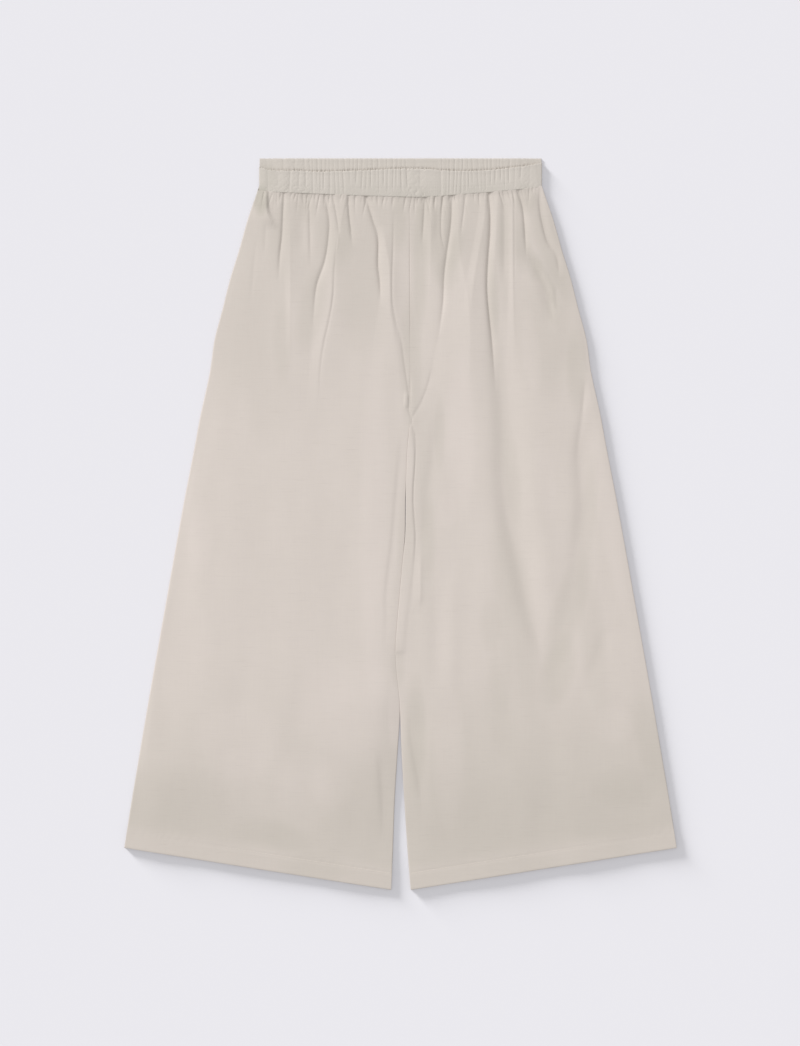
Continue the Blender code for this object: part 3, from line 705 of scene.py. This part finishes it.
def closeSection():  # joins the first row to the last, closes the ends and turns the faces outwards
    bpy.ops.object.mode_set(mode="EDIT")
    bpy.ops.mesh.select_all(action="SELECT")
    bpy.ops.mesh.remove_doubles(threshold=0.00001)
    bpy.ops.mesh.select_all(action="DESELECT")
    bpy.ops.mesh.select_mode(type="EDGE")
    bpy.ops.mesh.select_non_manifold()
    bpy.ops.mesh.edge_face_add()
    bpy.ops.mesh.select_all(action="SELECT")
    bpy.ops.mesh.normals_make_consistent(inside=False)
    bpy.ops.object.mode_set(mode="OBJECT")
    bpy.ops.object.shade_smooth()


def bandHalf(name, band, base, ridge):
    style = waistband
    lies = base == 0
    count, (even, top) = style["faceRows"], style["even"]
    face = np.concatenate([style["seamRows"], np.linspace(even, top, count - len(style["seamRows"]))])
    fold = np.linspace(0, math.pi, style["foldRows"] + 2)[1:-1]
    plain = np.linspace(top, style["plainTo"], style["plainRows"])
    ups = np.concatenate([face, top + style["foldHigh"] * np.sin(fold), plain, [0.0, 0.0]])
    sides = np.concatenate([np.ones(count), 0.5 + 0.5 * np.cos(fold), np.zeros(len(plain)), [0.3, 0.7]])
    ups, sides = np.append(ups, ups[0]), np.append(sides, sides[0])

    piece, column, row = startGrid(name, style["columns"], len(ups))
    row = len(ups) - 1 - row
    half = cut["waistHalf"] - style["short"]
    up, outer = ups[row], sides[row]

    # At each end the front half turns down to meet the back half, which lies flat.
    turn, hang, drop = style["ends"][int(lies)]
    arc = turn * math.pi / 2
    reach = half - turn + arc + hang
    run = np.linspace(-reach, reach, style["columns"])[column]
    toEnd = reach - np.abs(run)
    angle = np.clip((arc + hang - toEnd) / arc, 0, 1) * math.pi / 2
    spine = np.sign(run) * np.minimum(np.abs(run), half - turn + turn * np.sin(angle))
    thin = fall(toEnd, style["endRun"], style["endRun"])
    thinRun = style["endThin"][int(lies)]
    wide = style["thick"] + (style["endThick"] - style["thick"]) * fall(toEnd, thinRun, thinRun)
    middleHigh = base + style["thick"] / 2 - drop * thin - turn * (1 - np.cos(angle))
    middleHigh = middleHigh - np.maximum(hang - toEnd, 0)
    if lies:
        middleHigh = wide / 2
        angle = 0 * angle

    relief, scallop = bandRelief(run, up, ridge, lies)
    inside = np.clip(spine, -half, half)
    top, bottom = through(cut[band], 1, inside), waistSeam(spine, band)
    down = bottom + (top - bottom) * up + scallop
    if lies:
        relief -= bandGroove(run, toEnd, down, through(cut["frontBand"], 1, inside))
    offset = (outer - 0.5) * wide + relief * outer * (1 - style["endCalm"] * thin)
    across = spine + np.sign(run) * offset * np.sin(angle)
    high = middleHigh + offset * np.cos(angle)
    if lies:
        high = np.maximum(high, style["rest"])
    lay(piece, across, down, high)
    closeSection()
    return piece


def newGroup(name, inputs, outputs):
    group = bpy.data.node_groups.new(name, "ShaderNodeTree")
    for label, kind, value in inputs:
        socket = group.interface.new_socket(label, in_out="INPUT", socket_type=f"NodeSocket{kind}")
        if value is not None:
            socket.default_value = value
    for label, kind in outputs:
        group.interface.new_socket(label, in_out="OUTPUT", socket_type=f"NodeSocket{kind}")
    start = group.nodes.new("NodeGroupInput")
    end = group.nodes.new("NodeGroupOutput")
    return group, start, end


def maths(tree, operation, *values, kind="ShaderNodeMath"):
    node = tree.nodes.new(kind)
    node.operation = operation
    for slot, value in enumerate(values):
        if isinstance(value, (int, float, tuple)):
            node.inputs[slot].default_value = value
        else:
            tree.links.new(value, node.inputs[slot])
    return node.outputs[0]


def smooth(tree, value, start, end):
    node = tree.nodes.new("ShaderNodeMapRange")
    node.interpolation_type = "SMOOTHSTEP"
    node.inputs["From Min"].default_value = start
    node.inputs["From Max"].default_value = end
    tree.links.new(value, node.inputs["Value"])
    return node.outputs["Result"]


def noise(tree, vector, scale, detail, roughness=0.5):
    node = tree.nodes.new("ShaderNodeTexNoise")
    node.inputs["Scale"].default_value = scale
    node.inputs["Detail"].default_value = detail
    node.inputs["Roughness"].default_value = roughness
    tree.links.new(vector, node.inputs["Vector"])
    return node.outputs["Fac"]


def vectorMaths(tree, operation, *values):
    return maths(tree, operation, *values, kind="ShaderNodeVectorMath")


def streaks(tree, vector, scale, detail, roughness=0.5):  # noise with its own scale each way
    return noise(tree, vectorMaths(tree, "MULTIPLY", vector, scale), 1.0, detail, roughness)


weaveStyle = {
    "wander": (260.0, 2.0),  # of the yarns: noise scale and detail
    "slubNoise": ((45.0, 900.0, 45.0), 2.0, 0.6),  # noise scale each way, detail, roughness
    "slubFrom": 0.60,
    "slubSharp": 6.0,
    "slubHigh": 1.2,
}


def buildWeave():  # plain weave of uneven yarns, with thick places in the weft
    group, start, end = newGroup("plainWeave", [
        ("Vector", "Vector", None),
        ("Warp per metre", "Float", 2200.0),
        ("Weft per metre", "Float", 1900.0),
        ("Unevenness", "Float", 0.35),
    ], [("Height", "Float"), ("Slub", "Float")])
    calc = partial(maths, group)
    place = start.outputs["Vector"]
    split = group.nodes.new("ShaderNodeSeparateXYZ")
    group.links.new(place, split.inputs[0])
    wander = calc("SUBTRACT", noise(group, place, *weaveStyle["wander"]), 0.5)
    wander = calc("MULTIPLY", wander, start.outputs["Unevenness"])
    phases = []
    for axis, count in (("X", "Warp per metre"), ("Y", "Weft per metre")):
        phase = calc("MULTIPLY", split.outputs[axis], start.outputs[count])
        phases.append(calc("MULTIPLY", calc("ADD", phase, wander), math.pi))
    warp, weft = phases
    warpSin, weftSin = calc("SINE", warp), calc("SINE", weft)
    over = calc("MULTIPLY", warpSin, calc("COSINE", weft))
    under = calc("MULTIPLY", weftSin, calc("COSINE", warp))
    warpHigh = calc("ADD", calc("ABSOLUTE", warpSin), over)
    weftHigh = calc("SUBTRACT", calc("ABSOLUTE", weftSin), under)
    yarns = calc("MULTIPLY", calc("MAXIMUM", warpHigh, weftHigh), 0.5)
    thickness = streaks(group, place, *weaveStyle["slubNoise"])
    slub = calc("SUBTRACT", thickness, weaveStyle["slubFrom"])
    slub = calc("MULTIPLY", slub, weaveStyle["slubSharp"])
    slub.node.use_clamp = True
    height = calc("ADD", yarns, calc("MULTIPLY", slub, weaveStyle["slubHigh"]))
    group.links.new(height, end.inputs["Height"])
    group.links.new(slub, end.inputs["Slub"])
    return group


toneStyle = {
    "patches": (9.0, 4.0, 0.55),  # noise scale, detail, roughness
    "weft": ((30.0, 700.0, 30.0), 3.0, 0.7),  # the same, with its scale each way
    "warp": ((800.0, 24.0, 30.0), 2.0, 0.7),
    "shares": (0.3, 0.28, 0.2),  # of patches, weft and warp
    "lift": 0.11,
    "deeper": (-1.03, -0.95, -1.1),  # painted shade is a little yellower too
}


def buildTone():  # washed cloth is never quite one colour; the painted shade is laid on here too
    group, start, end = newGroup("clothTone", [
        ("Vector", "Vector", None),
        ("Light", "Color", (0.7, 0.63, 0.57, 1)),
        ("Deep", "Color", (0.6, 0.53, 0.47, 1)),
        ("Slub", "Float", 0.0),
        ("Slub strength", "Float", 0.25),
        ("Shade", "Float", 0.0),
    ], [("Color", "Color")])
    calc = partial(maths, group)
    place = start.outputs["Vector"]
    patchShare, weftShare, warpShare = toneStyle["shares"]
    patches = noise(group, place, *toneStyle["patches"])
    weft = calc("MULTIPLY", streaks(group, place, *toneStyle["weft"]), weftShare)
    warp = calc("MULTIPLY", streaks(group, place, *toneStyle["warp"]), warpShare)
    yarns = calc("ADD", calc("ADD", weft, warp), toneStyle["lift"])
    amount = calc("ADD", calc("MULTIPLY", patches, patchShare), yarns)
    slub = calc("MULTIPLY", start.outputs["Slub"], start.outputs["Slub strength"])
    amount = calc("SUBTRACT", amount, slub)
    amount.node.use_clamp = True
    mix = group.nodes.new("ShaderNodeMix")
    mix.data_type = "RGBA"
    group.links.new(amount, mix.inputs["Factor"])
    group.links.new(start.outputs["Deep"], mix.inputs["A"])
    group.links.new(start.outputs["Light"], mix.inputs["B"])
    # painted shade darkens the mixed colour here
    share = vectorMaths(group, "MULTIPLY_ADD", start.outputs["Shade"], toneStyle["deeper"], (1, 1, 1))
    lit = vectorMaths(group, "MULTIPLY", mix.outputs["Result"], share)
    group.links.new(lit, end.inputs["Color"])
    return group


# Broad soft shading, painted as a touch of deeper colour, or of lighter where the strength is below 0
shades = {
    # across, down, half width, half length, slant, strength
    "patches": [
        # waist and hips
        (0, 10, 400, 20, 0, 0.015), (0, 44, 230, 24, 0, 0.018), (-163, 49, 12, 22, 0, 0.17),
        (-156, 20, 14, 22, 0, 0.05), (147, 48, 17, 22, 0, 0.062), (-3, 74, 12, 46, 0, 0.05),
        (28, 58, 12, 26, 0, 0.045), (-109, 58, 14, 24, 0, 0.04), (-112, 100, 50, 84, 0, 0.04),
        (-44, 122, 46, 130, 0, 0.06), (0, 60, 50, 60, 0, 0.02), (80, 74, 120, 66, 0, 0.055),
        (172, 200, 48, 100, 0, 0.055), (-150, 60, 60, 60, 0, 0.03), (-180, 160, 60, 160, -0.2, 0.05),
        (-76, 84, 28, 60, 0, 0.055), (178, 108, 22, 74, 0.3, 0.072), (48, 96, 26, 60, 0, 0.055),
        (54, 136, 18, 26, 0, 0.055), (23, 128, 11, 84, 0, 0.08), (167, 140, 10, 48, 0.5, 0.07),
        (66, 105, 10, 32, -0.2, 0.04), (143, 104, 13, 38, 0, 0.055), (178, 178, 9, 24, 0.2, 0.05),
        (107, 160, 10, 62, 0.05, 0.09), (121, 116, 11, 84, 0, 0.05), (157, 128, 11, 20, 0, 0.05),
        (-104, 178, 20, 60, -0.2, 0.06), (-155, 270, 34, 80, 0, 0.024), (-138, 214, 14, 60, 0, 0.045),
        (206, 246, 15, 62, 0, 0.075), (152, 225, 14, 60, 0.1, -0.04),
        # legs
        (135, 400, 44, 170, 0, 0.02), (30, 330, 22, 120, 0, 0.03), (70, 320, 22, 120, 0, -0.045),
        (12, 240, 16, 100, 0, 0.08), (46, 322, 8, 54, 0, 0.045), (24, 480, 20, 240, 0, 0.03),
        (130, 372, 13, 76, 0.1, 0.04), (169, 375, 14, 60, 0.1, -0.03), (135, 536, 28, 136, 0.15, 0.06),
        (219, 420, 12, 90, -0.1, 0.04), (194, 532, 24, 90, -0.28, 0.058), (113, 260, 14, 130, 0.06, 0.03),
        (117, 600, 17, 66, 0, 0.035), (-30, 440, 22, 260, 0, -0.035), (-58, 648, 74, 80, 0, -0.042),
        (-7, 654, 10, 46, 0, -0.045), (-188, 682, 60, 60, 0, -0.04), (5, 440, 12, 80, 0, 0.045),
        (32, 446, 12, 60, 0, 0.055), (184, 600, 24, 52, -0.2, 0.075), (105, 546, 16, 40, 0, 0.045),
        (118, 642, 24, 72, 0.1, 0.028), (224, 560, 20, 100, 0.1, 0.04), (-3, 593, 10, 34, 0, 0.045),
        (55, 411, 14, 30, 0, -0.03), (-235, 446, 20, 50, 0, -0.03),
        # towards the hems
        (-170, 735, 70, 62, 0, -0.03), (-112, 740, 44, 60, 0, -0.036), (-150, 790, 46, 26, 1.0, 0.025),
        (-285, 752, 110, 52, 0, 0.03), (-82, 733, 30, 36, 0, -0.03), (-88, 690, 90, 90, 0, -0.012),
        (-100, 832, 52, 24, 0, 0.045), (262, 736, 46, 30, 0, 0.028), (250, 662, 26, 30, 0, -0.03),
        (246, 430, 16, 130, 0.18, -0.03), (186, 806, 76, 20, 0, -0.018), (130, 760, 240, 170, 0, 0.03),
        (17, 674, 16, 84, 0, 0.06), (57, 700, 22, 100, 0, -0.04), (294, 680, 24, 70, 0.17, 0.05),
    ],
    "lower": (560, 800, 0.095),  # from, to, strength: painted shade, darker towards the hems
    "hem": (836, 0.152, 0.032),  # stitch line at the inner edge, its slope, how much lighter the hem is painted
    "hemBlur": (14, 1),  # above that line, below it
}


# Painted shade: broad patches of darker or lighter colour, darker towards the hems and lighter at the hem
def buildShade():
    outputs = [("Shade", "Float")]
    group, start, end = newGroup("paintedShade", [("Vector", "Vector", None)], outputs)
    calc = partial(maths, group)
    split = group.nodes.new("ShaderNodeSeparateXYZ")
    group.links.new(start.outputs["Vector"], split.inputs[0])
    down = calc("SUBTRACT", length / 2 * mm, split.outputs["Y"])
    fadeFrom, fadeTo, strength = shades["lower"]
    total = calc("MULTIPLY", smooth(group, down, fadeFrom * mm, fadeTo * mm), strength)
    for across, middle, wide, long, slant, strength in shades["patches"]:
        below = calc("SUBTRACT", down, middle * mm)
        beside = calc("SUBTRACT", split.outputs["X"], across * mm)
        beside = calc("SUBTRACT", beside, calc("MULTIPLY", below, slant))
        x, y = calc("DIVIDE", beside, wide * mm), calc("DIVIDE", below, long * mm)
        square = calc("ADD", calc("MULTIPLY", x, x), calc("MULTIPLY", y, y))
        patch = smooth(group, square, 1.0, 0.0)
        total = calc("ADD", total, calc("MULTIPLY", patch, strength))
    line, slope, strength = shades["hem"]
    above, below = shades["hemBlur"]
    past = calc("MULTIPLY", calc("ABSOLUTE", split.outputs["X"]), slope)
    past = calc("ADD", down, past)
    hem = smooth(group, past, (line - above) * mm, (line + below) * mm)
    hem = calc("MULTIPLY", hem, strength)
    group.links.new(calc("SUBTRACT", total, hem), end.inputs["Shade"])
    return group


weaveGroup = buildWeave()
shadeGroup = buildShade()
toneGroup = buildTone()

cloths = {
    "legCloth": {
        "light": (0.641, 0.5805, 0.535), "deep": (0.525, 0.472, 0.433),
        "warp": 2200.0, "weft": 1900.0, "bump": 0.35,
    },
    # the same cloth as the legs, painted a little darker for the shade among the waistband's gathers
    "bandClothPaintedShade": {
        "light": (0.608, 0.561, 0.512), "deep": (0.494, 0.455, 0.416),
        "warp": 1900.0, "weft": 2200.0, "bump": 0.35,
    },
}
clothFinish = {"Roughness": 0.82, "Specular IOR Level": 0.25, "Sheen Weight": 0.12, "Sheen Roughness": 0.45}
yarnHigh = 0.00012  # metres
thread = {
    "dark": (0.62, 0.55, 0.49), "light": (0.80, 0.73, 0.66),
    "twist": ((3000.0, 9000.0, 3000.0), 1.0),  # noise scale each way, detail
    "finish": {"Roughness": 0.6},
}


def startMaterial(name, finish):
    material = bpy.data.materials.new(name)
    material.use_nodes = True
    shader = material.node_tree.nodes["Principled BSDF"]
    for label, value in finish.items():
        shader.inputs[label].default_value = value
    return material, material.node_tree, shader


def placeGroup(tree, group, vector, values):
    node = tree.nodes.new("ShaderNodeGroup")
    node.node_tree = group
    for label, value in values.items():
        node.inputs[label].default_value = value
    tree.links.new(vector, node.inputs["Vector"])
    return node


def clothMaterial(name, warp, weft, bump, light, deep):
    material, tree, shader = startMaterial(name, clothFinish)
    place = tree.nodes.new("ShaderNodeTexCoord").outputs["Object"]
    weave = placeGroup(tree, weaveGroup, place, {"Warp per metre": warp, "Weft per metre": weft})
    tone = placeGroup(tree, toneGroup, place, {"Light": (*light, 1), "Deep": (*deep, 1)})
    shade = placeGroup(tree, shadeGroup, place, {})
    relief = tree.nodes.new("ShaderNodeBump")
    relief.inputs["Strength"].default_value = bump
    relief.inputs["Distance"].default_value = yarnHigh
    tree.links.new(shade.outputs["Shade"], tone.inputs["Shade"])
    tree.links.new(weave.outputs["Slub"], tone.inputs["Slub"])
    tree.links.new(weave.outputs["Height"], relief.inputs["Height"])
    tree.links.new(tone.outputs["Color"], shader.inputs["Base Color"])
    tree.links.new(relief.outputs["Normal"], shader.inputs["Normal"])
    return material


def threadMaterial(name):
    material, tree, shader = startMaterial(name, thread["finish"])
    place = tree.nodes.new("ShaderNodeTexCoord").outputs["Object"]
    ramp = tree.nodes.new("ShaderNodeValToRGB")
    ramp.color_ramp.elements[0].color = (*thread["dark"], 1)
    ramp.color_ramp.elements[1].color = (*thread["light"], 1)
    tree.links.new(streaks(tree, place, *thread["twist"]), ramp.inputs["Fac"])
    tree.links.new(ramp.outputs["Color"], shader.inputs["Base Color"])
    return material


stitching = {
    "long": 2.7, "wide": 0.42, "high": 0.3, "pitch": 3.4,
    "facets": (6, 5),  # round a stitch, along it
    "hemLong": 300,
    "ends": (0.012, 0.988),  # shares of the hem between which the row runs
    "above": 0.02,
}


# spots are the points of the row, as (across, down, height). One stitch is modelled and copied along them.
def stitchRow(name, spots):
    bpy.ops.object.select_all(action="DESELECT")
    sides, rings = stitching["facets"]
    lying = (0, math.pi / 2, 0)
    bpy.ops.mesh.primitive_uv_sphere_add(segments=sides, ring_count=rings, radius=0.5, rotation=lying)
    bpy.ops.object.transform_apply(location=False, rotation=True, scale=False)
    first = bpy.context.active_object
    one = np.empty(len(first.data.vertices) * 3)
    first.data.vertices.foreach_get("co", one)
    one = one.reshape(-1, 3) * (stitching["long"], stitching["wide"], stitching["high"])
    faces = [tuple(face.vertices) for face in first.data.polygons]
    spots = np.array(spots)
    ahead = np.diff(spots, axis=0, append=spots[-1:] * 2 - spots[-2:-1])
    corners, made = [], []
    for k, (spot, step) in enumerate(zip(spots, ahead)):
        size = np.hypot(step[0], step[1])
        c, s = step[0] / size, step[1] / size
        tilt = step[2] / size
        across = spot[0] + one[:, 0] * c - one[:, 1] * s
        down = spot[1] + one[:, 0] * s + one[:, 1] * c
        high = spot[2] + one[:, 2] + one[:, 0] * tilt
        corners.append(np.stack([across, length / 2 - down, high], axis=1) * mm)
        made += [tuple(v + k * len(one) for v in reversed(face)) for face in faces]
    row = bpy.data.meshes.new(name)
    row.from_pydata(np.concatenate(corners).tolist(), [], made)
    row.shade_smooth()
    first.data = row
    first.name = name
    return first


def hemStitches(name, side):
    share = np.linspace(*stitching["ends"], int(stitching["hemLong"] / stitching["pitch"]))
    down = hemEdge(share) - hems["deep"]
    across = acrossAt(down, side, share)
    high = frontTop(across, down, side, turned=False) + stitching["above"]
    return stitchRow(name, list(zip(across, down, high)))


print("cloth")
materials = {name: clothMaterial(name, **values) for name, values in cloths.items()}
materials["sewingThread"] = threadMaterial("sewingThread")
panels = []
for leg, side in (("right", -1), ("left", 1)):
    front = legPanel(f"front_{leg}_cloth", side, frontMiddle, "frontBand", 1)
    back = legPanel(f"back_{leg}_cloth", side, backMiddle, "backBand", -1, coarse=2)
    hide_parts(f"front_{leg}_leg")
    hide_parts(f"back_{leg}_leg")
    panels += [front, back]
    stitches = hemStitches(f"hem_stitches_{leg}", side)
    stitches.data.materials.append(materials["sewingThread"])
    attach(stitches, "root")
    print("panels", leg)

rng = np.random.default_rng(5)
bandFront = bandHalf("waistband_front_cloth", "frontBand", waistband["frontBase"], waistband["frontRidge"])
bandBack = bandHalf("waistband_back_cloth", "backBand", 0, waistband["backRidge"])
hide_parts("waistband_front")
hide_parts("waistband_back")
print("waistband")

for piece in panels + [bandFront, bandBack]:
    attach(piece, "root")
    piece.data.materials.clear()
    piece.data.materials.append(materials["bandClothPaintedShade" if "waistband" in piece.name else "legCloth"])

studio = {
    "paper": {"Base Color": (0.5, 0.494, 0.5185, 1), "Roughness": 1.0, "Specular IOR Level": 0.0},
    "floorSize": 100,
    "sky": (1.0, 1.0, 1.0),
    "skyStrength": 0.72,
    "sunPlace": (-1, 1, 1.5),
    # strength, degrees across, height and plan direction in degrees
    "clothSun": (2.55, 32, 32, 134),
    "floorSun": (11.26, 13.5, 8.3, 134),  # low, so that thin cloth throws a wide soft shadow
    "floorFill": (1.31, 0, 90, 0),  # it keeps the floor beside the cloth's edges from going black
    "pixel": 1.17,  # millimetres to a pixel of an 800 by 1046 image
    "tall": 1046,
    "lens": 100,
    "sensor": 36,
    "centre": (-0.6, 1.0),
    "far": 30,
}


def addSun(name, lit):
    strength, soft, high, around = studio[name]
    bpy.ops.object.light_add(type="SUN", location=studio["sunPlace"])
    sun = bpy.context.active_object
    sun.name = name
    sun.data.energy = strength
    sun.data.angle = math.radians(soft)
    sun.rotation_euler = (0, math.radians(90 - high), math.radians(around))
    only = bpy.data.collections.new(name)
    for piece in lit:
        only.objects.link(piece)
    sun.light_linking.receiver_collection = only
    return sun


def buildStudio(pieces):
    bpy.ops.object.select_all(action="DESELECT")
    bpy.ops.mesh.primitive_plane_add(size=studio["floorSize"], location=(0, 0, 0))
    floor = bpy.context.active_object
    floor.name = "floor"
    paper = startMaterial("paper", studio["paper"])[0]
    floor.data.materials.append(paper)

    world = bpy.data.worlds.new("studio")
    world.use_nodes = True
    sky = world.node_tree.nodes["Background"]
    sky.inputs["Color"].default_value = (*studio["sky"], 1)
    sky.inputs["Strength"].default_value = studio["skyStrength"]
    bpy.context.scene.world = world
    addSun("clothSun", pieces)
    addSun("floorSun", [floor])
    addSun("floorFill", [floor]).data.use_shadow = False

    distance = studio["lens"] / studio["sensor"] * studio["tall"] * studio["pixel"] * mm
    x, y = studio["centre"]
    bpy.ops.object.camera_add(location=(x * mm, y * mm, distance), rotation=(0, 0, 0))
    camera = bpy.context.active_object
    camera.data.lens = studio["lens"]
    camera.data.clip_end = studio["far"]
    bpy.context.scene.camera = camera
    bpy.context.scene.view_settings.view_transform = "Standard"


buildStudio([piece for piece in bpy.context.scene.objects if piece.type == "MESH"])
print("studio")
